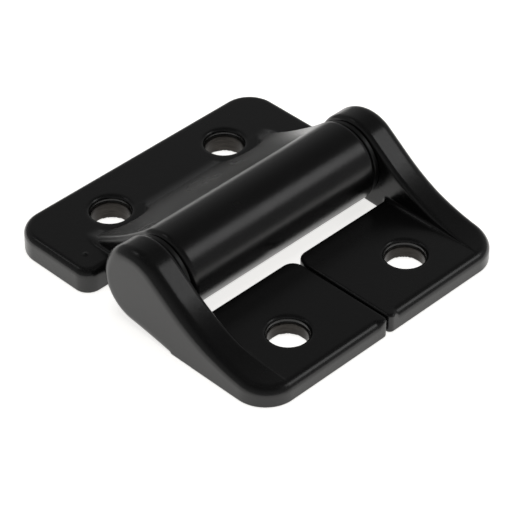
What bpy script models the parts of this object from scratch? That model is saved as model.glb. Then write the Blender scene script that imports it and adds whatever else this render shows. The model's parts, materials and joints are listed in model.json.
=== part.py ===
"""Constant-torque door hinge with a split leaf, laid open flat.

X runs along the pin, +Y points from the pin to the knuckle leaf, +Z is up.
The origin is under the middle of the pin, on the plane that both leaves mount on.
Built in millimetres and scaled to metres where a mesh is made.
"""
from math import atan2, cos, hypot, pi, radians, sin, tan

import bmesh
import bpy

MM = 0.001
CLEARANCE = 0.3            # gap left between pieces that touch on the real hinge

# Pin line
PIN_HEIGHT = 7.65
SHAFT_RADIUS = 3.175       # quarter-inch steel rod
SHAFT_FLAT = 2.5           # half the distance across the two flats at each end
SOCKET_DEPTH = 4.0

# Knuckle leaf: plate, swoop and barrel in one casting
BARREL_RADIUS = 7.05
BARREL_HALF_LENGTH = 20.4
BARREL_RIM = 0.9
BORE_RADIUS = 4.9
KEYWAY_HALF_WIDTH = 1.1
KEYWAY_REACH = 6.8         # from the pin line into the solid root of the swoop
SWOOP_ANGLE = 41.0         # tilt of the surface where the swoop leaves the barrel
SWOOP_FOOT = 17.4
REAR_THICKNESS = 4.3
REAR_HALF_WIDTH = 27.0
REAR_NEAR_EDGE = 10.6
REAR_FAR_EDGE = 28.8
REAR_NEAR_CORNER = 2.6
REAR_FAR_CORNER = 5.4
REAR_HOLE = (12.8, 20.5)
SPOT_RADIUS = 5.7          # flat turned round each rear hole for a washer
SPOT_DEPTH = 0.1

# Split leaf: two mirrored castings, each a plate with an ear
FRONT_THICKNESS = 3.4
FRONT_HALF_WIDTH = 27.0
FRONT_NEAR_EDGE = -8.2
FRONT_FAR_EDGE = -28.8
FRONT_CORNER = 5.8
SPLIT_HALF_GAP = 0.18
SPLIT_NEAR_CORNER = 2.2
SPLIT_FAR_CORNER = 0.9
FRONT_HOLE = (13.2, -19.9)
EAR_RADIUS = 7.2
EAR_INNER = 21.4
EAR_RIM = 1.5
EAR_UNDERSIDE = 0.2        # the ear's lower side clears the mounting plane
RAMP_ANGLE = 36.9          # slope of the ear where it leaves its round head
RAMP_RADIUS = 34.0         # hollow that brings the slope down to the plate
RAMP_END = -28.0

# Screw holes, M6 clearance
HOLE_RADIUS = 3.2
MOUTH_RADIUS = 3.4         # cast mouth, wider than the drilled hole below it
MOUTH_DEPTH = 1.1
LIP_RADIUS = 3.75
LIP_DEPTH = 0.35

# Friction pack inside the barrel
CLIP_COUNT = 14
CLIP_WIDTH = 2.2
CLIP_THICKNESS = 1.1
CLIP_TAIL_HALF_WIDTH = 0.75
CLIP_TAIL_REACH = 6.4
BUSHING_LENGTH = 2.0
FLANGE_THICKNESS = 0.4
FLANGE_RADIUS = 5.9

EDGE_RADIUS = 0.6
ROUND_STEPS = 32


def material(name, colour, roughness, metallic):
    """A Principled BSDF in one colour."""
    made = bpy.data.materials.new(name)
    made.use_nodes = True
    shader = made.node_tree.nodes["Principled BSDF"]
    shader.inputs["Base Color"].default_value = (*colour, 1.0)
    shader.inputs["Roughness"].default_value = roughness
    shader.inputs["Metallic"].default_value = metallic
    return made


def arc(centre, radius, start, end, steps):
    """Points on an arc in a plane, angles in degrees, both ends included."""
    points = []
    for step in range(steps + 1):
        angle = radians(start + (end - start) * step / steps)
        points.append((centre[0] + radius * cos(angle), centre[1] + radius * sin(angle)))
    return points


def link(name, bm, surface=None):
    """Puts a bmesh, built in millimetres, into the scene as an object in metres."""
    bmesh.ops.scale(bm, vec=(MM, MM, MM), verts=bm.verts)
    bmesh.ops.recalc_face_normals(bm, faces=bm.faces)
    mesh = bpy.data.meshes.new(name)
    bm.to_mesh(mesh)
    bm.free()
    mesh.shade_smooth()
    mesh.set_sharp_from_angle(angle=radians(35))
    made = bpy.data.objects.new(name, mesh)
    bpy.context.scene.collection.objects.link(made)
    if surface:
        mesh.materials.append(surface)
    return made


def prism(outline, place, low, high, rim=0.0, rim_ends=()):
    """Extrudes a closed outline from low to high; place(u, v, w) gives x, y, z.

    The edges round the ends named in rim_ends ("low", "high") are rounded by rim.
    """
    bm = bmesh.new()
    bottom = [bm.verts.new(place(u, v, low)) for u, v in outline]
    top = [bm.verts.new(place(u, v, high)) for u, v in outline]
    caps = {"low": bm.faces.new(bottom[::-1]), "high": bm.faces.new(top)}
    for index in range(len(outline)):
        after = (index + 1) % len(outline)
        bm.faces.new((bottom[index], bottom[after], top[after], top[index]))
    edges = [edge for end in rim_ends for edge in caps[end].edges]
    if edges:
        bmesh.ops.bevel(bm, geom=edges, offset=rim, segments=2, profile=0.5, affect="EDGES")
    return bm


def along_x(u, v, w):
    return (w, u, v)


def along_z(u, v, w):
    return (u, v, w)


def turned(profile, place, steps=ROUND_STEPS):
    """Turns a closed profile of (radius, distance) pairs about an axis.

    A pair with no radius becomes a single point on the axis.
    """
    bm = bmesh.new()
    rings = []
    for radius, distance in profile:
        if radius:
            ring = [bm.verts.new(place(radius * cos(2 * pi * s / steps),
                                       radius * sin(2 * pi * s / steps), distance))
                    for s in range(steps)]
        else:
            ring = [bm.verts.new(place(0.0, 0.0, distance))] * steps
        rings.append(ring)
    for index, ring in enumerate(rings):
        other = rings[(index + 1) % len(rings)]
        if ring[0] is ring[1] and other[0] is other[1]:
            continue
        for s in range(steps):
            after = (s + 1) % steps
            corners = [ring[s], ring[after], other[after], other[s]]
            bm.faces.new(list(dict.fromkeys(corners)))
    return bm


def combine(target, other, operation):
    """Adds a live Boolean; the other object becomes a hidden guide."""
    other.hide_render = True
    other.display_type = "WIRE"
    step = target.modifiers.new(other.name, "BOOLEAN")
    step.operation = operation
    step.solver = "EXACT"
    step.object = other


def rounded_corner(corner, radius, start, steps=5):
    """Quarter arc of an outline's corner; start is the arc's first angle."""
    along, across = corner
    middle = radians(start + 45)
    centre = (along - radius * (cos(middle) > 0) + radius * (cos(middle) < 0),
              across - radius * (sin(middle) > 0) + radius * (sin(middle) < 0))
    return arc(centre, radius, start, start + 90, steps)


def screw_hole(name, centre, thickness, spot=False):
    """Cutter for a drilled hole with a cast, eased mouth, and a washer flat if asked."""
    profile = [(0.0, -2.0), (HOLE_RADIUS, -2.0), (HOLE_RADIUS, thickness - MOUTH_DEPTH),
               (MOUTH_RADIUS, thickness - MOUTH_DEPTH), (MOUTH_RADIUS, thickness - LIP_DEPTH),
               (LIP_RADIUS, thickness - (SPOT_DEPTH if spot else 0.0))]
    if spot:
        profile.append((SPOT_RADIUS, thickness - SPOT_DEPTH))
        profile.append((SPOT_RADIUS, thickness + 8.0))
    else:
        profile.append((LIP_RADIUS, thickness + 2.0))
    profile.append((0.0, profile[-1][1]))

    def place(u, v, w):
        return (centre[0] + u, centre[1] + v, w)
    return link(name, turned(profile, place, 28))


def swoop_points():
    """Hollow arc from the swoop's foot up to where it touches the barrel."""
    tilt = radians(SWOOP_ANGLE)
    touch = (BARREL_RADIUS * sin(tilt), PIN_HEIGHT + BARREL_RADIUS * cos(tilt))
    across = SWOOP_FOOT - touch[0]
    drop = touch[1] - REAR_THICKNESS
    foot_tilt = 2 * atan2(drop, across) - tilt
    radius = hypot(across, drop) / (2 * sin((tilt - foot_tilt) / 2))
    centre = (touch[0] + radius * sin(tilt), touch[1] + radius * cos(tilt))
    steps = 6
    points = []
    for step in range(steps):
        angle = foot_tilt + (tilt - foot_tilt) * step / steps
        points.append((centre[0] - radius * sin(angle), centre[1] - radius * cos(angle)))
    return points


def knuckle_leaf(finish):
    """Barrel, swoop and rear plate with two holes, a bore and its keyway."""
    pin = (0.0, PIN_HEIGHT)
    body = arc(pin, BARREL_RADIUS, 90 - SWOOP_ANGLE, 300, 22)
    body += [(5.0, 0.0), (11.2, 0.0), (13.0, 1.2), (18.8, 2.0)]
    body += swoop_points()
    leaf = link("knuckle_leaf", prism(body, along_x, -BARREL_HALF_LENGTH, BARREL_HALF_LENGTH,
                                      BARREL_RIM, ("low", "high")), finish)

    plate = []
    for corner, radius, start in (((REAR_HALF_WIDTH, REAR_FAR_EDGE), REAR_FAR_CORNER, 0),
                                  ((-REAR_HALF_WIDTH, REAR_FAR_EDGE), REAR_FAR_CORNER, 90),
                                  ((-REAR_HALF_WIDTH, REAR_NEAR_EDGE), REAR_NEAR_CORNER, 180),
                                  ((REAR_HALF_WIDTH, REAR_NEAR_EDGE), REAR_NEAR_CORNER, 270)):
        plate += rounded_corner(corner, radius, start)
    combine(leaf, link("rear_plate_guide", prism(plate, along_z, 0.0, REAR_THICKNESS,
                                                 EDGE_RADIUS, ("high",))), "UNION")

    reach = BARREL_HALF_LENGTH + 2.0
    bore = [(0.0, -reach), (BORE_RADIUS, -reach), (BORE_RADIUS, reach), (0.0, reach)]

    def about_pin(u, v, w):
        return (w, u, PIN_HEIGHT + v)
    combine(leaf, link("bore_guide", turned(bore, about_pin)), "DIFFERENCE")
    low, high = PIN_HEIGHT - KEYWAY_HALF_WIDTH, PIN_HEIGHT + KEYWAY_HALF_WIDTH
    keyway = [(2.0, low), (KEYWAY_REACH, low), (KEYWAY_REACH, high), (2.0, high)]
    combine(leaf, link("keyway_guide", prism(keyway, along_x, -reach, reach)), "DIFFERENCE")
    for side, label in ((-1, "left"), (1, "right")):
        hole = screw_hole(f"rear_hole_{label}_guide", (side * REAR_HOLE[0], REAR_HOLE[1]),
                          REAR_THICKNESS, spot=True)
        combine(leaf, hole, "DIFFERENCE")


def ear_outline():
    """Side view of an ear: round head, straight slope, hollow ramp, eased underside."""
    pin = (0.0, PIN_HEIGHT)
    points = [(RAMP_END, EAR_UNDERSIDE), (FRONT_NEAR_EDGE - 1.0, EAR_UNDERSIDE)]
    points += arc(pin, EAR_RADIUS, -92, 90 + RAMP_ANGLE, 20)
    tilt = radians(RAMP_ANGLE)
    touch = (-EAR_RADIUS * sin(tilt), PIN_HEIGHT + EAR_RADIUS * cos(tilt))
    hollow_top = FRONT_THICKNESS + RAMP_RADIUS * (1 - cos(tilt))
    hollow_start = touch[0] - (touch[1] - hollow_top) / tan(tilt)
    centre = (hollow_start - RAMP_RADIUS * sin(tilt), FRONT_THICKNESS + RAMP_RADIUS)
    last = atan2(RAMP_END - centre[0], RAMP_RADIUS)
    steps = 6
    for step in range(steps + 1):
        angle = tilt + (last - tilt) * step / steps
        points.append((centre[0] + RAMP_RADIUS * sin(angle),
                       centre[1] - RAMP_RADIUS * cos(angle)))
    return points


def half_leaf(label, side, finish):
    """One casting of the split leaf; side is -1 at the left and 1 at the right."""
    def from_side(u, v, w):
        return (side * w, u, v)

    def mirrored_z(u, v, w):
        return (side * u, v, w)

    leaf = link(f"{label}_half_leaf", prism(ear_outline(), from_side, EAR_INNER, FRONT_HALF_WIDTH,
                                            EAR_RIM, ("high",)), finish)
    corner = [(FRONT_HALF_WIDTH + 1.0, EAR_RADIUS + 1.0), (EAR_INNER - 1.0, EAR_RADIUS + 1.0),
              (EAR_INNER - 1.0, FRONT_FAR_EDGE)]
    corner += rounded_corner((FRONT_HALF_WIDTH, FRONT_FAR_EDGE), FRONT_CORNER, 270)
    corner += [(FRONT_HALF_WIDTH, FRONT_NEAR_EDGE), (FRONT_HALF_WIDTH + 1.0, FRONT_NEAR_EDGE)]
    combine(leaf, link(f"{label}_corner_guide", prism(corner, mirrored_z, -1.0, 20.0)),
            "INTERSECT")
    plate = [(FRONT_HALF_WIDTH, FRONT_NEAR_EDGE)]
    plate += rounded_corner((SPLIT_HALF_GAP, FRONT_NEAR_EDGE), SPLIT_NEAR_CORNER, 90)
    plate += rounded_corner((SPLIT_HALF_GAP, FRONT_FAR_EDGE), SPLIT_FAR_CORNER, 180, 3)
    plate += rounded_corner((FRONT_HALF_WIDTH, FRONT_FAR_EDGE), FRONT_CORNER, 270)
    combine(leaf, link(f"{label}_plate_guide", prism(plate, mirrored_z, 0.0, FRONT_THICKNESS,
                                                     EDGE_RADIUS, ("high",))), "UNION")

    socket = shaft_section(SHAFT_RADIUS + CLEARANCE, SHAFT_FLAT + CLEARANCE)
    socket_end = EAR_INNER + SOCKET_DEPTH
    combine(leaf, link(f"{label}_socket_guide",
                       prism(socket, from_side, EAR_INNER - 2.0, socket_end)), "DIFFERENCE")
    combine(leaf, screw_hole(f"front_hole_{label}_guide", (side * FRONT_HOLE[0], FRONT_HOLE[1]),
                             FRONT_THICKNESS), "DIFFERENCE")


def shaft_section(radius, flat):
    """Round section about the pin line, cut by a flat above and a flat below."""
    points = []
    for step in range(ROUND_STEPS):
        angle = 2 * pi * step / ROUND_STEPS
        height = max(-flat, min(flat, radius * sin(angle)))
        points.append((radius * cos(angle), PIN_HEIGHT + height))
    return points


def shaft(finish):
    """Rod whose flatted ends turn with the two half leaves."""
    end = EAR_INNER + SOCKET_DEPTH - CLEARANCE
    shoulder = EAR_INNER - 0.35
    bm = bmesh.new()
    rings = []
    for place, radius, flat in ((-end, SHAFT_RADIUS - 0.4, SHAFT_FLAT - 0.3),
                                (-end + 0.4, SHAFT_RADIUS, SHAFT_FLAT),
                                (-shoulder - 0.2, SHAFT_RADIUS, SHAFT_FLAT),
                                (-shoulder, SHAFT_RADIUS, SHAFT_RADIUS),
                                (shoulder, SHAFT_RADIUS, SHAFT_RADIUS),
                                (shoulder + 0.2, SHAFT_RADIUS, SHAFT_FLAT),
                                (end - 0.4, SHAFT_RADIUS, SHAFT_FLAT),
                                (end, SHAFT_RADIUS - 0.4, SHAFT_FLAT - 0.3)):
        rings.append([bm.verts.new((place, y, z)) for y, z in shaft_section(radius, flat)])
    for ring, other in zip(rings, rings[1:]):
        for s in range(ROUND_STEPS):
            after = (s + 1) % ROUND_STEPS
            bm.faces.new((ring[s], ring[after], other[after], other[s]))
    bm.faces.new(rings[0][::-1])
    bm.faces.new(rings[-1])
    link("shaft", bm, finish)


def bushing(label, side, finish):
    """Flanged plain bearing in the mouth of the bore; its flange takes the end load."""
    inner = SHAFT_RADIUS + CLEARANCE
    outer = BORE_RADIUS - CLEARANCE
    face = BARREL_HALF_LENGTH + CLEARANCE
    back = BARREL_HALF_LENGTH - BUSHING_LENGTH
    profile = [(inner, back), (outer, back), (outer, face), (FLANGE_RADIUS, face),
               (FLANGE_RADIUS, face + FLANGE_THICKNESS), (inner, face + FLANGE_THICKNESS)]

    def place(u, v, w):
        return (side * w, u, PIN_HEIGHT + v)
    link(f"bushing_{label}", turned(profile, place), finish)


def clip_outline():
    """Open ring that grips the shaft, with a tail that stands in the keyway."""
    pin = (0.0, PIN_HEIGHT)
    inner = SHAFT_RADIUS + CLEARANCE
    outer = inner + CLIP_THICKNESS
    tail = CLIP_TAIL_HALF_WIDTH
    free_end = 300
    root = atan2(tail, outer) * 180 / pi
    points = arc(pin, outer, root, free_end, 20)
    points += arc(pin, inner, free_end, -root, 20)
    points += [(CLIP_TAIL_REACH, PIN_HEIGHT - tail), (CLIP_TAIL_REACH, PIN_HEIGHT + tail)]
    return points


def friction_clips(finish):
    """The stack of clips between the two bushings, numbered from the left."""
    pitch = CLIP_WIDTH + CLEARANCE
    first = -pitch * (CLIP_COUNT - 1) / 2
    for index in range(CLIP_COUNT):
        middle = first + pitch * index
        link(f"friction_clip_{index + 1:02d}",
             prism(clip_outline(), along_x, middle - CLIP_WIDTH / 2, middle + CLIP_WIDTH / 2),
             finish)


def main():
    for old in list(bpy.data.objects):
        bpy.data.objects.remove(old)
    coated_rear = material("powder_coat_rear", (0.012, 0.012, 0.013), 0.42, 0.0)
    coated_left = material("powder_coat_left", (0.013, 0.013, 0.013), 0.42, 0.0)
    coated_right = material("powder_coat_right", (0.012, 0.013, 0.013), 0.42, 0.0)
    ground_steel = material("ground_steel", (0.45, 0.45, 0.46), 0.3, 1.0)
    black_acetal = material("black_acetal", (0.012, 0.012, 0.012), 0.5, 0.0)
    spring_steel = material("spring_steel", (0.30, 0.31, 0.33), 0.35, 1.0)
    knuckle_leaf(coated_rear)
    half_leaf("left", -1, coated_left)
    half_leaf("right", 1, coated_right)
    shaft(ground_steel)
    bushing("left", -1, black_acetal)
    bushing("right", 1, black_acetal)
    friction_clips(spring_steel)


main()
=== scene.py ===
import json
from math import cos, radians, sin

import bpy
import numpy as np
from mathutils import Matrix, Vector


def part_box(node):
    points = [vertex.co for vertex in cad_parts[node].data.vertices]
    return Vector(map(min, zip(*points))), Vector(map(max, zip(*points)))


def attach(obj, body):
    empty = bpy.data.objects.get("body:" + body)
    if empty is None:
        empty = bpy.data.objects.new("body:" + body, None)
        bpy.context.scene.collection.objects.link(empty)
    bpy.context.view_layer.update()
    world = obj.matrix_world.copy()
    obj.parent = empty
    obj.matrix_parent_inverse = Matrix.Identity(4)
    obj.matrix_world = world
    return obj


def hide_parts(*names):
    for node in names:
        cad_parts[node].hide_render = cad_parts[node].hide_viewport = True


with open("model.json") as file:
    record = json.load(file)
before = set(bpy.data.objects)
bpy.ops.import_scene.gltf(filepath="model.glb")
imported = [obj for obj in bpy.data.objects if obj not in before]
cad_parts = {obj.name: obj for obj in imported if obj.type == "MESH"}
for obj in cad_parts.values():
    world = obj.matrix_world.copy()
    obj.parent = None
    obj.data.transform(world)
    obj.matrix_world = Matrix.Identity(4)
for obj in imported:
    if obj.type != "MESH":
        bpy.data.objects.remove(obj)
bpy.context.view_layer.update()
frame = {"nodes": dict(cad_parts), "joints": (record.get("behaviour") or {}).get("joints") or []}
mm = 0.001

pinHeight = frame["joints"][0]["pos_m"][2] / mm
knuckleLow, knuckleHigh = (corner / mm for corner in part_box("knuckle_leaf"))
halfLow, halfHigh = (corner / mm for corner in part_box("right_half_leaf"))


def linearColour(code):
    # sRGB hex to the linear values that a shader takes
    channels = np.array([int(code[i:i + 2], 16) for i in (1, 3, 5)]) / 255
    linear = np.where(channels <= 0.04045, channels / 12.92, ((channels + 0.055) / 1.055) ** 2.4)
    return (*[float(c) for c in linear], 1.0)


def addNode(tree, kind, settings=None, inputs=None):
    # settings are the node's own properties; an input is a value or another node's output
    node = tree.nodes.new(kind)
    for key, value in (settings or {}).items():
        setattr(node, key, value)
    for key, value in (inputs or {}).items():
        if isinstance(value, bpy.types.NodeSocket):
            tree.links.new(value, node.inputs[key])
        else:
            node.inputs[key].default_value = value
    return node


def newMaterial(name):
    made = bpy.data.materials.new(name)
    made.use_nodes = True
    tree = made.node_tree
    tree.nodes.clear()
    shader = addNode(tree, "ShaderNodeBsdfPrincipled")
    addNode(tree, "ShaderNodeOutputMaterial", inputs={"Surface": shader.outputs[0]})
    return made, tree, shader


# The castings and the inner pieces are distance fields in millimetres: each is negative inside
# the piece, and its zero is the skin that becomes the mesh.

def roundJoin(a, b, radius):
    # both shapes together, with a hollow fillet of that radius where they meet
    radius = np.maximum(radius, 1e-3)
    corner = np.hypot(np.maximum(radius - a, 0), np.maximum(radius - b, 0))
    return np.maximum(radius, np.minimum(a, b)) - corner


def roundKeep(a, b, radius):
    # what is inside both shapes, with a round of that radius on the edge
    radius = np.maximum(radius, 1e-3)
    corner = np.hypot(np.maximum(radius + a, 0), np.maximum(radius + b, 0))
    return np.minimum(-radius, np.maximum(a, b)) + corner


def roundedBoxPlan(x, y, low, high, corners):
    # distance to a rectangle in plan; corners are the radii at (-x -y, +x -y, -x +y, +x +y)
    middle = [(a + b) / 2 for a, b in zip(low, high)]
    half = [(b - a) / 2 for a, b in zip(low, high)]
    u, v = x - middle[0], y - middle[1]
    radius = np.where(v < 0, np.where(u < 0, corners[0], corners[1]),
                      np.where(u < 0, corners[2], corners[3]))
    du, dv = np.abs(u) - half[0] + radius, np.abs(v) - half[1] + radius
    return np.minimum(np.maximum(du, dv), 0) + np.hypot(np.maximum(du, 0), np.maximum(dv, 0)) - radius


def screwHole(body, away, depth, sizes):
    # a cast mouth with a rounded lip, then the narrower drilled hole
    mouth = np.maximum(away - sizes["mouthRadius"], depth - sizes["mouthDepth"])
    body = roundKeep(body, -mouth, np.where(depth < 0.8, sizes["lipRound"], 0.05))
    return roundKeep(body, sizes["holeRadius"] - away, 0.12)


def gridLines(low, high, coarse, fine, zones):
    # lines across one axis, close together in the zones that hold a small round
    place = np.linspace(low, high, 4000)
    gap = np.full_like(place, coarse)
    for start, end in zones:
        away = np.maximum(np.maximum(start - place, place - end), 0)
        gap = np.minimum(gap, fine + 0.35 * away)
    count = np.concatenate([[0], np.cumsum((place[1:] - place[:-1]) / gap[1:])])
    lines = int(np.ceil(count[-1]))
    return np.interp(np.linspace(0, count[-1], lines + 1), count, place)


def slopeOf(field, points):
    # slope of the field by central differences
    step = 0.004
    slope = np.empty_like(points)
    for axis in range(3):
        offset = np.zeros(3)
        offset[axis] = step
        ahead, behind = points + offset, points - offset
        slope[:, axis] = (field(*ahead.T) - field(*behind.T)) / (2 * step)
    return slope


def ontoSkin(field, points, rounds):
    # Newton steps along the slope carry each point onto the zero of the field
    for _ in range(rounds):
        slope = slopeOf(field, points)
        steep = np.maximum((slope ** 2).sum(1), 0.05)
        move = (field(*points.T) / steep)[:, None] * slope
        length = np.maximum(np.linalg.norm(move, axis=1, keepdims=True), 1e-9)
        points = points - move * np.minimum(1, 0.2 / length)
    return points


def skinOf(field, lines):
    # One point in each grid cell that the skin crosses, at the mean of its edge crossings,
    # and one four-sided face round each grid edge that the skin cuts.
    grid = np.meshgrid(*lines, indexing="ij")
    value = field(*grid)
    inside = value < 0
    size = [n - 1 for n in value.shape]
    corners = [(i, j, k) for i in (0, 1) for j in (0, 1) for k in (0, 1)]

    def block(array, corner):
        return array[tuple(slice(c, c + n) for c, n in zip(corner, size))]
    filled = sum(block(inside, corner).astype(np.int8) for corner in corners)
    cells = np.argwhere((filled > 0) & (filled < 8))
    number = np.full(size, -1, np.int64)
    number[tuple(cells.T)] = np.arange(len(cells))
    total = np.zeros((len(cells), 3))
    hits = np.zeros(len(cells))
    for corner in corners:
        for axis in range(3):
            if corner[axis]:
                continue
            other = tuple(c + (n == axis) for n, c in enumerate(corner))
            first = tuple((cells + corner).T)
            second = tuple((cells + other).T)
            a, b = value[first], value[second]
            crossed = (a < 0) != (b < 0)
            share = np.where(crossed, a / np.where(crossed, a - b, 1), 0)
            for n in range(3):
                start, end = lines[n][first[n]], lines[n][second[n]]
                total[:, n] += np.where(crossed, start + share * (end - start), 0)
            hits += crossed
    points = total / hits[:, None]
    faces = []
    for axis in range(3):
        u, v = [(1, 2), (2, 0), (0, 1)][axis]
        ahead = np.take(inside, range(1, inside.shape[axis]), axis)
        here = np.take(inside, range(inside.shape[axis] - 1), axis)
        edges = np.argwhere(ahead != here)
        edges = edges[(edges[:, u] > 0) & (edges[:, v] > 0)
                      & (edges[:, u] < size[u]) & (edges[:, v] < size[v])]
        ring = []
        for du, dv in ((1, 1), (0, 1), (0, 0), (1, 0)):
            cell = edges.copy()
            cell[:, u] -= du
            cell[:, v] -= dv
            ring.append(number[tuple(cell.T)])
        face = np.stack(ring, 1)
        outward = here[tuple(edges.T)]
        face[~outward] = face[~outward][:, ::-1]
        faces.append(face)
    return points, np.concatenate(faces)


def evenOut(field, points, faces, rounds):
    # each point moves towards the middle of its neighbours and back onto the skin
    pairs = np.concatenate([faces[:, [a, (a + 1) % 4]] for a in range(4)])
    degree = np.bincount(pairs.ravel(), minlength=len(points))[:, None]
    for _ in range(rounds):
        total = np.stack([np.bincount(pairs[:, 0], points[pairs[:, 1], n], len(points))
                          + np.bincount(pairs[:, 1], points[pairs[:, 0], n], len(points))
                          for n in range(3)], 1)
        points = ontoSkin(field, points + 0.5 * (total / degree - points), 1)
    return ontoSkin(field, points, 2)


def fineSkin(field, lines):
    points, faces = skinOf(field, lines)
    return evenOut(field, ontoSkin(field, points, 3), faces, 4), faces


def makePiece(name, points, faces, surface, body, node, slot):
    mesh = bpy.data.meshes.new(name)
    mesh.from_pydata((points * mm).tolist(), [], faces.tolist())
    mesh.shade_smooth()
    mesh.materials.append(surface)
    piece = bpy.data.objects.new(name, mesh)
    bpy.context.scene.collection.objects.link(piece)
    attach(piece, body)
    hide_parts(node)
    print(f"{name}: {len(points)} points, {2 * len(faces)} triangles")
    return piece


# Satin black powder coat, electrostatically sprayed and baked: a thin skin of melted grains
# with a fine orange peel, so highlights are soft and slightly broken.
powderCoat = {
    "colour": "#0a0a0a",
    "fleck": "#0e0e0e",
    "roughness": 0.25,
    "peelSize": 0.8,       # mm from one swell to the next
    "peelHeight": 0.009,   # mm
    "grainSize": 0.12,     # mm, one melted powder grain
    "grainHeight": 0.0012,  # mm
    "cloudSize": 9.0,      # mm, slow change of tone from the spray
    "boreColour": "#474441",
    "boreDark": "#1c1b1a",
    "boreRoughness": 0.4,
    "toolMark": 0.22,      # mm between the reamer's rings
    "bareEdge": (0.16, 0.08),    # mm outside the bore where the coat ends
}


def makePowderCoat(name, holeX, holeY, boreRadius):
    made, tree, shader = newMaterial(name)
    p = powderCoat
    place = addNode(tree, "ShaderNodeTexCoord").outputs["Object"]
    peel = addNode(tree, "ShaderNodeTexNoise", inputs={
        "Vector": place, "Scale": 1 / (p["peelSize"] * mm), "Detail": 1.5, "Roughness": 0.4})
    grain = addNode(tree, "ShaderNodeTexNoise", inputs={
        "Vector": place, "Scale": 1 / (p["grainSize"] * mm), "Detail": 1.0, "Roughness": 0.5})
    cloud = addNode(tree, "ShaderNodeTexNoise", inputs={
        "Vector": place, "Scale": 1 / (p["cloudSize"] * mm), "Detail": 3.0, "Roughness": 0.55})

    # distance from the axis of the nearest screw hole, the same on both sides of the middle
    split = addNode(tree, "ShaderNodeSeparateXYZ", inputs={"Vector": place})
    side = addNode(tree, "ShaderNodeMath", {"operation": "ABSOLUTE"}, {0: split.outputs["X"]})
    acrossX = addNode(tree, "ShaderNodeMath", {"operation": "SUBTRACT"},
                      {0: side.outputs[0], 1: holeX * mm})
    acrossY = addNode(tree, "ShaderNodeMath", {"operation": "SUBTRACT"},
                      {0: split.outputs["Y"], 1: holeY * mm})
    across = addNode(tree, "ShaderNodeCombineXYZ", inputs={"X": acrossX.outputs[0],
                                                          "Y": acrossY.outputs[0]})
    away = addNode(tree, "ShaderNodeVectorMath", {"operation": "LENGTH"},
                   {0: across.outputs[0]})
    bare = addNode(tree, "ShaderNodeMapRange", {"interpolation_type": "SMOOTHSTEP"}, {
        "Value": away.outputs["Value"], "From Min": (boreRadius + p["bareEdge"][0]) * mm,
        "From Max": (boreRadius + p["bareEdge"][1]) * mm, "To Min": 0.0, "To Max": 1.0})

    # reamer rings: noise that changes only with depth, broken a little round the wall
    drawn = addNode(tree, "ShaderNodeMapping", inputs={"Vector": place,
                                                       "Scale": (0.12, 0.12, 1.0)})
    rings = addNode(tree, "ShaderNodeTexNoise", inputs={
        "Vector": drawn.outputs[0], "Scale": 1 / (p["toolMark"] * mm), "Detail": 2.0,
        "Roughness": 0.6})
    boreTone = addNode(tree, "ShaderNodeMix", {"data_type": "RGBA"}, {
        0: rings.outputs["Fac"], 6: linearColour(p["boreDark"]), 7: linearColour(p["boreColour"])})
    coatTone = addNode(tree, "ShaderNodeMix", {"data_type": "RGBA"}, {
        0: cloud.outputs["Fac"], 6: linearColour(p["colour"]), 7: linearColour(p["fleck"])})
    tone = addNode(tree, "ShaderNodeMix", {"data_type": "RGBA"}, {
        0: bare.outputs[0], 6: coatTone.outputs[2], 7: boreTone.outputs[2]})
    tree.links.new(tone.outputs[2], shader.inputs["Base Color"])
    tree.links.new(bare.outputs[0], shader.inputs["Metallic"])

    coatRough = addNode(tree, "ShaderNodeMapRange", inputs={
        "Value": cloud.outputs["Fac"], "From Min": 0.3, "From Max": 0.7,
        "To Min": p["roughness"] - 0.02, "To Max": p["roughness"] + 0.03})
    rough = addNode(tree, "ShaderNodeMix", {"data_type": "FLOAT"}, {
        0: bare.outputs[0], 2: coatRough.outputs[0], 3: p["boreRoughness"]})
    tree.links.new(rough.outputs[0], shader.inputs["Roughness"])

    swell = addNode(tree, "ShaderNodeBump", inputs={
        "Height": peel.outputs["Fac"], "Strength": 1.0, "Distance": p["peelHeight"] * mm})
    speckle = addNode(tree, "ShaderNodeBump", inputs={
        "Height": grain.outputs["Fac"], "Strength": 1.0, "Distance": p["grainHeight"] * mm,
        "Normal": swell.outputs[0]})
    tree.links.new(speckle.outputs[0], shader.inputs["Normal"])
    return made


# Knuckle leaf: plate, swoop and barrel, one zinc casting.

knuckleLeaf = {
    "barrelRadius": -knuckleLow.y,
    "barrelHalfLength": 20.4,
    "barrelRim": 1.0,
    "boreRadius": 4.9,
    "keywayHalfWidth": 1.1,
    "keywayReach": 6.8,
    "halfWidth": knuckleHigh.x,
    "nearEdge": 10.6,
    "farEdge": knuckleHigh.y,
    "thickness": 4.3,
    "nearCorner": 2.6,
    "farCorner": 5.4,
    "topRound": 1.3,
    "endFootRound": 0.7,
    "footRound": 0.5,
    "bottomRound": 0.25,
    "swoopAngle": 41.0,    # tilt where the swoop leaves the barrel
    "swoopFoot": 17.4,
    "hole": (12.8, 20.5),
    "holeRadius": 3.2,
    "mouthRadius": 3.4,    # the cast mouth is wider than the drilled hole below it
    "mouthDepth": 1.1,
    "lipRound": 0.6,
    "spotRadius": 5.7,
    "spotRound": 0.8,
    "pip": (-23.3, 14.85),  # small cast pip
    "pipRadius": 0.45,
    "pipHeight": 0.22,
}


def swoopArc():
    # circle through the swoop's foot that touches the barrel at the swoop's angle
    k = knuckleLeaf
    tilt = radians(k["swoopAngle"])
    touch = np.array([k["barrelRadius"] * sin(tilt), pinHeight + k["barrelRadius"] * cos(tilt)])
    chord = np.array([k["swoopFoot"], k["thickness"]]) - touch
    normal = np.array([sin(tilt), cos(tilt)])
    radius = (chord @ chord) / (2 * (chord @ normal))
    return touch + radius * normal, radius


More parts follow.
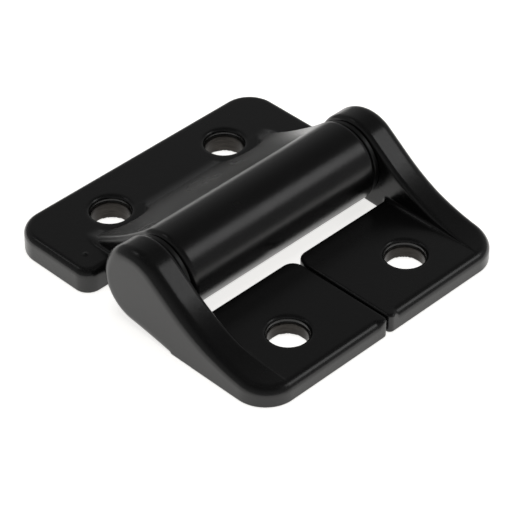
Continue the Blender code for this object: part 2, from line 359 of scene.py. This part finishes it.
def knuckleField(x, y, z):
    # barrel and swoop cut to the barrel's length, joined to the rounded plate and the pip, less
    # the washer flats, the screw holes and the bore with its keyway
    k = knuckleLeaf
    tilt = radians(k["swoopAngle"])
    centre, radius = swoopArc()
    up = z - pinHeight
    fromPin = np.hypot(y, up)
    barrel = fromPin - k["barrelRadius"]
    swoop = radius - np.hypot(y - centre[0], z - centre[1])
    behindTouch = up * sin(tilt) - y * cos(tilt)
    nose = (5.0 - y - z) / np.sqrt(2)
    root = np.maximum.reduce([swoop, behindTouch, nose, y - k["farEdge"] + 4])
    middle = np.minimum(barrel, root)
    middle = roundKeep(middle, np.abs(x) - k["barrelHalfLength"], k["barrelRim"])
    plan = roundedBoxPlan(x, y, (-k["halfWidth"], k["nearEdge"]), (k["halfWidth"], k["farEdge"]),
                          (k["nearCorner"], k["nearCorner"], k["farCorner"], k["farCorner"]))
    plate = roundKeep(plan, z - k["thickness"], k["topRound"])
    foot = np.interp(np.abs(x), [k["barrelHalfLength"] - 2, k["barrelHalfLength"]],
                     [k["footRound"], k["endFootRound"]])
    body = roundJoin(middle, plate, foot)
    pipDepth = k["thickness"] + k["pipHeight"] - k["pipRadius"]
    pip = np.sqrt((x - k["pip"][0]) ** 2 + (y - k["pip"][1]) ** 2 + (z - pipDepth) ** 2)
    body = roundJoin(body, pip - k["pipRadius"], 0.12)

    away = np.hypot(np.abs(x) - k["hole"][0], y - k["hole"][1])
    spot = np.maximum(away - k["spotRadius"], k["thickness"] + 0.02 - z)
    reach = np.clip(y - centre[0], -radius, radius)
    stand = np.where(y < k["swoopFoot"],
                     centre[1] - np.sqrt(radius ** 2 - reach ** 2) - k["thickness"], 0)
    body = roundKeep(body, -spot, np.clip(0.8 * stand, 0, k["spotRound"]))
    body = roundKeep(body, -z, k["bottomRound"])
    body = screwHole(body, away, k["thickness"] - z, k)
    bore = np.minimum(fromPin - k["boreRadius"],
                      np.maximum(np.abs(up) - k["keywayHalfWidth"],
                                 np.abs(y - 3.0) - (k["keywayReach"] - 3.0)))
    return roundKeep(body, -bore, 0.3)


# Half leaves: plate and ear, one zinc casting each, mirrored.

halfLeaf = {
    "halfWidth": halfHigh.x,
    "splitEdge": halfLow.x,
    "farEdge": halfLow.y,
    "nearEdge": -8.2,
    "thickness": 3.4,
    "farCorner": 5.8,
    "splitFarCorner": 0.9,
    "splitNearCorner": 2.2,
    "earRadius": halfHigh.y,
    "earInner": 21.4,
    "earRim": 2.0,
    "frontRim": 1.5,
    "rampAngle": 36.9,
    "rampRadius": 34.0,
    "underRise": -13.0,    # from here to the pin the underside lifts off the mounting plane
    "slotRound": 0.45,
    "footRound": 0.8,
    "innerRound": 0.9,
    "bottomRound": 0.25,
    "hole": (13.2, -19.9),
    "holeRadius": 3.2,
    "mouthRadius": 3.4,    # the cast mouth is wider than the drilled hole below it
    "mouthDepth": 1.1,
    "lipRound": 0.6,
    "socketRadius": 3.475,
    "socketFlat": 2.8,
    "socketEnd": 25.4,
}


def earProfile(y, z):
    # side view: a round head, a straight slope that touches it, a hollow ramp to the plate
    # and an underside that rises to the head; also how far the ramp stands over the plate
    h = halfLeaf
    tilt = radians(h["rampAngle"])
    up = z - pinHeight
    head = np.hypot(y, up) - h["earRadius"]
    touch = (-h["earRadius"] * sin(tilt), pinHeight + h["earRadius"] * cos(tilt))
    hollowTop = h["thickness"] + h["rampRadius"] * (1 - cos(tilt))
    hollowStart = touch[0] - (touch[1] - hollowTop) * cos(tilt) / sin(tilt)
    centre = (hollowStart - h["rampRadius"] * sin(tilt), h["thickness"] + h["rampRadius"])
    along, below = y - centre[0], centre[1] - z
    slope = -(y - touch[0]) * sin(tilt) + (z - touch[1]) * cos(tilt)
    hollow = h["rampRadius"] - np.hypot(along, below)
    top = np.where(along < 0, z - h["thickness"],
                   np.where(along * cos(tilt) > below * sin(tilt), slope, hollow))
    reach = np.hypot(h["underRise"], pinHeight)
    rise = np.arctan2(pinHeight, -h["underRise"]) - np.arcsin(h["earRadius"] / reach)
    under = (y - h["underRise"]) * sin(rise) - z * cos(rise)
    behind = -y * cos(tilt) - up * sin(tilt)
    beside = -y * cos(rise) - up * sin(rise)
    body = np.where((behind > 0) & (beside > 0), np.maximum(top, under), head)
    inHollow = np.clip(along, 0, h["rampRadius"] * sin(tilt))
    stand = h["rampRadius"] - np.sqrt(h["rampRadius"] ** 2 - inHollow ** 2)
    return body, stand, under


def halfField(x, y, z):
    # the ear's side view cut to its width, joined to the rounded plate, less the screw hole and
    # the socket for the flats of the shaft
    h = halfLeaf
    profile, stand, under = earProfile(y, z)
    soft = np.clip(0.6 * stand, 0.0, 1.0)
    outline = roundedBoxPlan(x, y, (-60.0, h["farEdge"]), (h["halfWidth"], 60.0),
                             (0.0, h["farCorner"], 0.0, 0.0))
    rim = h["frontRim"] + (h["earRim"] - h["frontRim"]) * np.clip(stand / 3, 0, 1)
    low = np.interp(y, [-9.0, 0.3], [h["bottomRound"], h["earRim"]])  # the rim fades below
    rim = low + (rim - low) * np.clip(-under / 3, 0, 1)
    ear = roundKeep(profile, outline, rim)
    ear = roundKeep(ear, h["earInner"] - x, h["innerRound"] * soft)
    plan = roundedBoxPlan(x, y, (h["splitEdge"], h["farEdge"]), (h["halfWidth"], h["nearEdge"]),
                          (h["splitFarCorner"], h["farCorner"], h["splitNearCorner"], 0.0))
    inward = np.minimum(x - h["splitEdge"], h["nearEdge"] - y)
    plate = roundKeep(plan, z - h["thickness"],
                      np.interp(inward, [1.0, 2.0], [h["slotRound"], h["frontRim"]]))
    body = roundJoin(ear, plate, h["footRound"] * soft * np.clip((-outline - 0.5) / 2, 0, 1))
    body = roundKeep(np.maximum(body, under), -z, h["bottomRound"])
    away = np.hypot(x - h["hole"][0], y - h["hole"][1])
    body = screwHole(body, away, h["thickness"] - z, h)
    up = z - pinHeight
    socket = np.maximum.reduce([np.hypot(y, up) - h["socketRadius"], np.abs(up) - h["socketFlat"],
                                x - h["socketEnd"]])
    return roundKeep(body, -socket, 0.2)


def makeCastings():
    k, h = knuckleLeaf, halfLeaf
    coatKnuckle = makePowderCoat("satin_powder_coat_knuckle", *k["hole"], k["holeRadius"])
    coatSplit = makePowderCoat("satin_powder_coat_split", *h["hole"], h["holeRadius"])
    near = 0.4
    end = k["barrelHalfLength"]
    xLines = gridLines(-k["halfWidth"] - near, k["halfWidth"] + near, 0.36, 0.17,
                       [(-27, -25.5), (-23.9, -22.7), (-end - 1, -end + 1.2),
                        (end - 1.2, end + 1), (25.5, 27)])
    yLines = gridLines(-k["barrelRadius"] - near, k["farEdge"] + near, 0.34, 0.18,
                       [(10.4, 12), (14.4, 18), (27.5, 28.8)])
    zLines = gridLines(-near, pinHeight + k["barrelRadius"] + near, 0.34, 0.16,
                       [(-0.1, 0.4), (3.0, 4.6)])
    makePiece("knuckle_leaf_casting", *fineSkin(knuckleField, (xLines, yLines, zLines)),
              coatKnuckle, "knuckle_side", "knuckle_leaf", "powder_coat")
    for label, side in (("left", -1), ("right", 1)):
        xLines = gridLines(h["splitEdge"] - near, h["halfWidth"] + near, 0.3, 0.15,
                           [(0, 1.2), (20.8, 22.2), (25.2, 27.1)])
        yLines = gridLines(h["farEdge"] - near, h["earRadius"] + near, 0.3, 0.16,
                           [(-28.8, -27.4), (-9.2, -7.8)])
        zLines = gridLines(-near, pinHeight + h["earRadius"] + near, 0.3, 0.15,
                           [(-0.1, 0.4), (2.4, 4.4)])

        def sided(x, y, z, side=side):
            return halfField(side * x, y, z)
        if side < 0:
            xLines = -xLines[::-1]
        makePiece(f"{label}_half_leaf_casting", *fineSkin(sided, (xLines, yLines, zLines)),
                  coatSplit, "split_side", f"{label}_half_leaf", "powder_coat")


makeCastings()


# Inner pieces, seen only at the ends of the barrel.

shaft = {
    "radius": 3.175,
    "flat": 2.5,           # half the distance across the two flats at each end
    "shoulder": 21.05,
    "chamfer": 0.4,
}
bushing = {
    "inner": 3.475,
    "outer": 4.6,
    "flangeRadius": 6.55,
    "flangeGap": 0.06,     # left between the flange and the castings on both sides
    "length": 2.0,
    "round": 0.12,
}
clip = {
    "inner": 3.475,
    "outer": 4.575,
    "tailHalfWidth": 0.75,
    "tailReach": 6.4,
    "opening": (300.0, 350.6),   # angles about the pin, from the tail's direction
    "round": 0.15,
}


def shaftField(x, y, z):
    # a chamfered rod with two flats at each end
    f = shaft
    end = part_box("shaft")[1].x / mm
    up = z - pinHeight
    rod = roundKeep(np.hypot(y, up) - f["radius"], np.abs(x) - end, f["chamfer"])
    flats = np.minimum(f["flat"] - np.abs(up), np.abs(x) - f["shoulder"])
    return roundKeep(rod, flats, 0.1)


def bushingField(x, y, z):
    # a sleeve in the barrel and a round flange in the gap beside it, less the bore
    b = bushing
    away = np.hypot(y, z - pinHeight)
    low = knuckleLeaf["barrelHalfLength"]
    sleeve = np.maximum.reduce([away - b["outer"], low - b["length"] - x, x - low - 0.3])
    flange = roundKeep(away - b["flangeRadius"],
                       np.maximum(low + b["flangeGap"] - x,
                                  x - halfLeaf["earInner"] + b["flangeGap"]), b["round"])
    return roundKeep(np.minimum(sleeve, flange), b["inner"] - away, b["round"])


def clipField(x, y, z):
    # an open ring round the shaft with a flat tail along +Y
    c = clip
    up = z - pinHeight
    away = np.hypot(y, up)
    ring = np.maximum(c["inner"] - away, away - c["outer"])
    first, last = [radians(a) for a in c["opening"]]
    gap = np.maximum(y * sin(first) - up * cos(first), up * cos(last) - y * sin(last))
    ring = np.maximum(ring, -gap)
    tail = np.maximum.reduce([np.abs(up) - c["tailHalfWidth"], y - c["tailReach"],
                              c["inner"] - away, -y])
    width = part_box("friction_clip_01")[1].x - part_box("friction_clip_01")[0].x
    return roundKeep(np.minimum(ring, tail), np.abs(x) - width / mm / 2, c["round"])


# Ground steel rod, hardened spring strip and moulded acetal: fine lines from grinding and
# rolling, and the even grain of the mould.
innerFinish = {    # colour, roughness, metal, stretch of the lines, mm from line to line
    "ground_steel_rod": ("#b3b3b5", 0.26, 1.0, (1.0, 0.08, 0.08), 0.05),
    "blued_spring_strip": ("#8f9196", 0.34, 1.0, (0.1, 1.0, 1.0), 0.12),
    "black_acetal_moulding": ("#0a0a0a", 0.42, 0.0, (1.0, 1.0, 1.0), 0.4),
}


def makeInnerFinish(name):
    colour, roughness, metallic, stretch, size = innerFinish[name]
    made, tree, shader = newMaterial(name)
    place = addNode(tree, "ShaderNodeTexCoord").outputs["Object"]
    drawn = addNode(tree, "ShaderNodeMapping", inputs={"Vector": place, "Scale": stretch})
    lines = addNode(tree, "ShaderNodeTexNoise", inputs={
        "Vector": drawn.outputs[0], "Scale": 1 / (size * mm), "Detail": 2.0})
    rough = addNode(tree, "ShaderNodeMapRange", inputs={
        "Value": lines.outputs["Fac"], "To Min": roughness - 0.08, "To Max": roughness + 0.08})
    tree.links.new(rough.outputs[0], shader.inputs["Roughness"])
    shader.inputs["Base Color"].default_value = linearColour(colour)
    shader.inputs["Metallic"].default_value = metallic
    bump = addNode(tree, "ShaderNodeBump", inputs={
        "Height": lines.outputs["Fac"], "Strength": 0.3, "Distance": 0.002 * mm})
    tree.links.new(bump.outputs[0], shader.inputs["Normal"])
    return made


def makeInnerPieces():
    steel, strip, acetal = [makeInnerFinish(name) for name in innerFinish]
    near = 0.4
    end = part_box("shaft")[1].x / mm
    reach = shaft["radius"] + near
    lines = [gridLines(-end - near, end + near, 0.5, 0.14,
                       [(-end, -end + 0.5), (-21.4, -20.8), (20.8, 21.4), (end - 0.5, end)]),
             gridLines(-reach, reach, 0.26, 0.2, []),
             gridLines(pinHeight - reach, pinHeight + reach, 0.26, 0.2, [])]
    makePiece("shaft_rod", *fineSkin(shaftField, lines), steel,
              "split_side", "shaft", "ground_steel")

    low = knuckleLeaf["barrelHalfLength"]
    reach = bushing["flangeRadius"] + near
    lines = [gridLines(low - bushing["length"] - near, halfLeaf["earInner"] + near, 0.3, 0.1,
                       [(low - 0.1, halfLeaf["earInner"])]),
             gridLines(-reach, reach, 0.26, 0.2, []),
             gridLines(pinHeight - reach, pinHeight + reach, 0.26, 0.2, [])]
    points, faces = fineSkin(bushingField, lines)
    for label, side in (("left", -1), ("right", 1)):
        makePiece(f"bushing_{label}_moulding", points * (side, 1, 1), faces[:, ::side], acetal,
                  "knuckle_side", f"bushing_{label}", "black_acetal")

    reach = clip["outer"] + near
    lines = [gridLines(-1.1 - near, 1.1 + near, 0.4, 0.1, [(-1.15, -0.9), (0.9, 1.15)]),
             gridLines(-reach, clip["tailReach"] + near, 0.25, 0.2, []),
             gridLines(pinHeight - reach, pinHeight + reach, 0.25, 0.2, [])]
    points, faces = fineSkin(clipField, lines)
    for node in sorted(n for n in frame["nodes"] if n.startswith("friction_clip")):
        middle = (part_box(node)[0].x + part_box(node)[1].x) / 2 / mm
        makePiece(f"{node}_strip", points + (middle, 0, 0), faces, strip,
                  "knuckle_side", node, "spring_steel")


makeInnerPieces()


stage = {
    "floorColour": "#f4f3f1",
    "floorSize": 3.0,      # m
    "tableGlow": 0.85,     # the middle of the floor is lit from below, as on a light table
    "tableRim": 0.08,
    "glowReach": (0.07, 0.17),   # m from the middle, where the glow fades
    "skyHorizon": "#8a8a8a",
    "skyLow": "#898989",
    "skyMiddle": "#787878",
    "skyTop": "#4c4c4c",
}


def makeStage():
    s = stage
    made, tree, shader = newMaterial("pale_paper")
    place = addNode(tree, "ShaderNodeTexCoord").outputs["Object"]
    fibre = addNode(tree, "ShaderNodeTexNoise", inputs={"Vector": place, "Scale": 900.0})
    rough = addNode(tree, "ShaderNodeMapRange", inputs={
        "Value": fibre.outputs["Fac"], "To Min": 0.75, "To Max": 0.85})
    tree.links.new(rough.outputs[0], shader.inputs["Roughness"])
    shader.inputs["Base Color"].default_value = linearColour(s["floorColour"])
    shader.inputs["Emission Color"].default_value = linearColour(s["floorColour"])
    away = addNode(tree, "ShaderNodeVectorMath", {"operation": "LENGTH"}, {0: place})
    glow = addNode(tree, "ShaderNodeMapRange", {"interpolation_type": "SMOOTHSTEP"}, {
        "Value": away.outputs["Value"], "From Min": s["glowReach"][0],
        "From Max": s["glowReach"][1], "To Min": s["tableGlow"], "To Max": s["tableRim"]})
    tree.links.new(glow.outputs[0], shader.inputs["Emission Strength"])
    # clear from underneath, so that the hinge can be seen from below too
    clear = addNode(tree, "ShaderNodeBsdfTransparent")
    facing = addNode(tree, "ShaderNodeNewGeometry")
    sheet = addNode(tree, "ShaderNodeMixShader", inputs={
        0: facing.outputs["Backfacing"], 1: shader.outputs[0], 2: clear.outputs[0]})
    tree.links.new(sheet.outputs[0], tree.nodes["Material Output"].inputs["Surface"])
    half = s["floorSize"] / 2
    mesh = bpy.data.meshes.new("floor")
    mesh.from_pydata([(-half, -half, 0), (half, -half, 0), (half, half, 0), (-half, half, 0)],
                     [], [(0, 1, 2, 3)])
    mesh.materials.append(made)
    floor = bpy.data.objects.new("floor", mesh)
    floor.location.z = -0.02 * mm
    bpy.context.scene.collection.objects.link(floor)

    world = bpy.data.worlds.new("studio")
    bpy.context.scene.world = world
    world.use_nodes = True
    tree = world.node_tree
    sky = addNode(tree, "ShaderNodeTexCoord").outputs["Generated"]
    height = addNode(tree, "ShaderNodeSeparateXYZ", inputs={"Vector": sky})
    ramp = addNode(tree, "ShaderNodeValToRGB", inputs={"Fac": height.outputs["Z"]})
    ramp.color_ramp.elements.new(0.3)
    ramp.color_ramp.elements.new(0.6)
    for element, key in zip(ramp.color_ramp.elements,
                            ("skyHorizon", "skyLow", "skyMiddle", "skyTop")):
        element.color = linearColour(s[key])
    ramp.color_ramp.elements[3].position = 0.85
    tree.links.new(ramp.outputs[0], tree.nodes["Background"].inputs["Color"])


# where each soft box stands (m), its two sides (m), its power (W) and whether it is mirrored
softBoxes = {
    "floor_box": ((0, 0, 0.36), (0.3, 0.3), 0.5, False),
    "right_box": ((0.5, -0.5, 0.6), (0.36, 0.32), 0.62, True),
    "edge_box": ((-0.27, 0.55, 0.77), (0.2, 0.2), 0.12, True),
}


def makeSoftBox(name, place, sides, power, mirrored):
    # a rectangle of light with its face turned to the hinge
    lamp = bpy.data.lights.new(name, "AREA")
    lamp.shape = "RECTANGLE"
    lamp.size, lamp.size_y = sides
    lamp.energy = power
    made = bpy.data.objects.new(name, lamp)
    made.location = place
    made.rotation_euler = (-Vector(place)).to_track_quat("-Z", "Y").to_euler()
    made.visible_glossy = mirrored
    bpy.context.scene.collection.objects.link(made)


view = {
    "azimuth": -44.98,
    "elevation": 39.26,
    "distance": 413.8,     # mm from the hinge
    "lens": 182.3,
    "right": -0.308,       # mm that the camera stands off the line to the hinge
    "up": -0.597,
}


def makeCamera():
    # seen from the front left and above, with a long lens
    azimuth, elevation = radians(view["azimuth"]), radians(view["elevation"])
    back = Vector((sin(azimuth) * cos(elevation), -cos(azimuth) * cos(elevation), sin(elevation)))
    right = Vector((cos(azimuth), sin(azimuth), 0))
    up = back.cross(right)
    data = bpy.data.cameras.new("camera")
    data.sensor_width = 36.0
    data.lens = view["lens"]
    data.clip_start, data.clip_end = 0.01, 20.0
    camera = bpy.data.objects.new("camera", data)
    camera.location = mm * (view["distance"] * back + view["right"] * right + view["up"] * up)
    camera.rotation_euler = back.to_track_quat("Z", "Y").to_euler()
    bpy.context.scene.collection.objects.link(camera)
    bpy.context.scene.camera = camera


makeStage()
for name, values in softBoxes.items():
    makeSoftBox(name, *values)
makeCamera()
bpy.context.scene.view_settings.view_transform = "Standard"
print("stage, lights and camera in place")
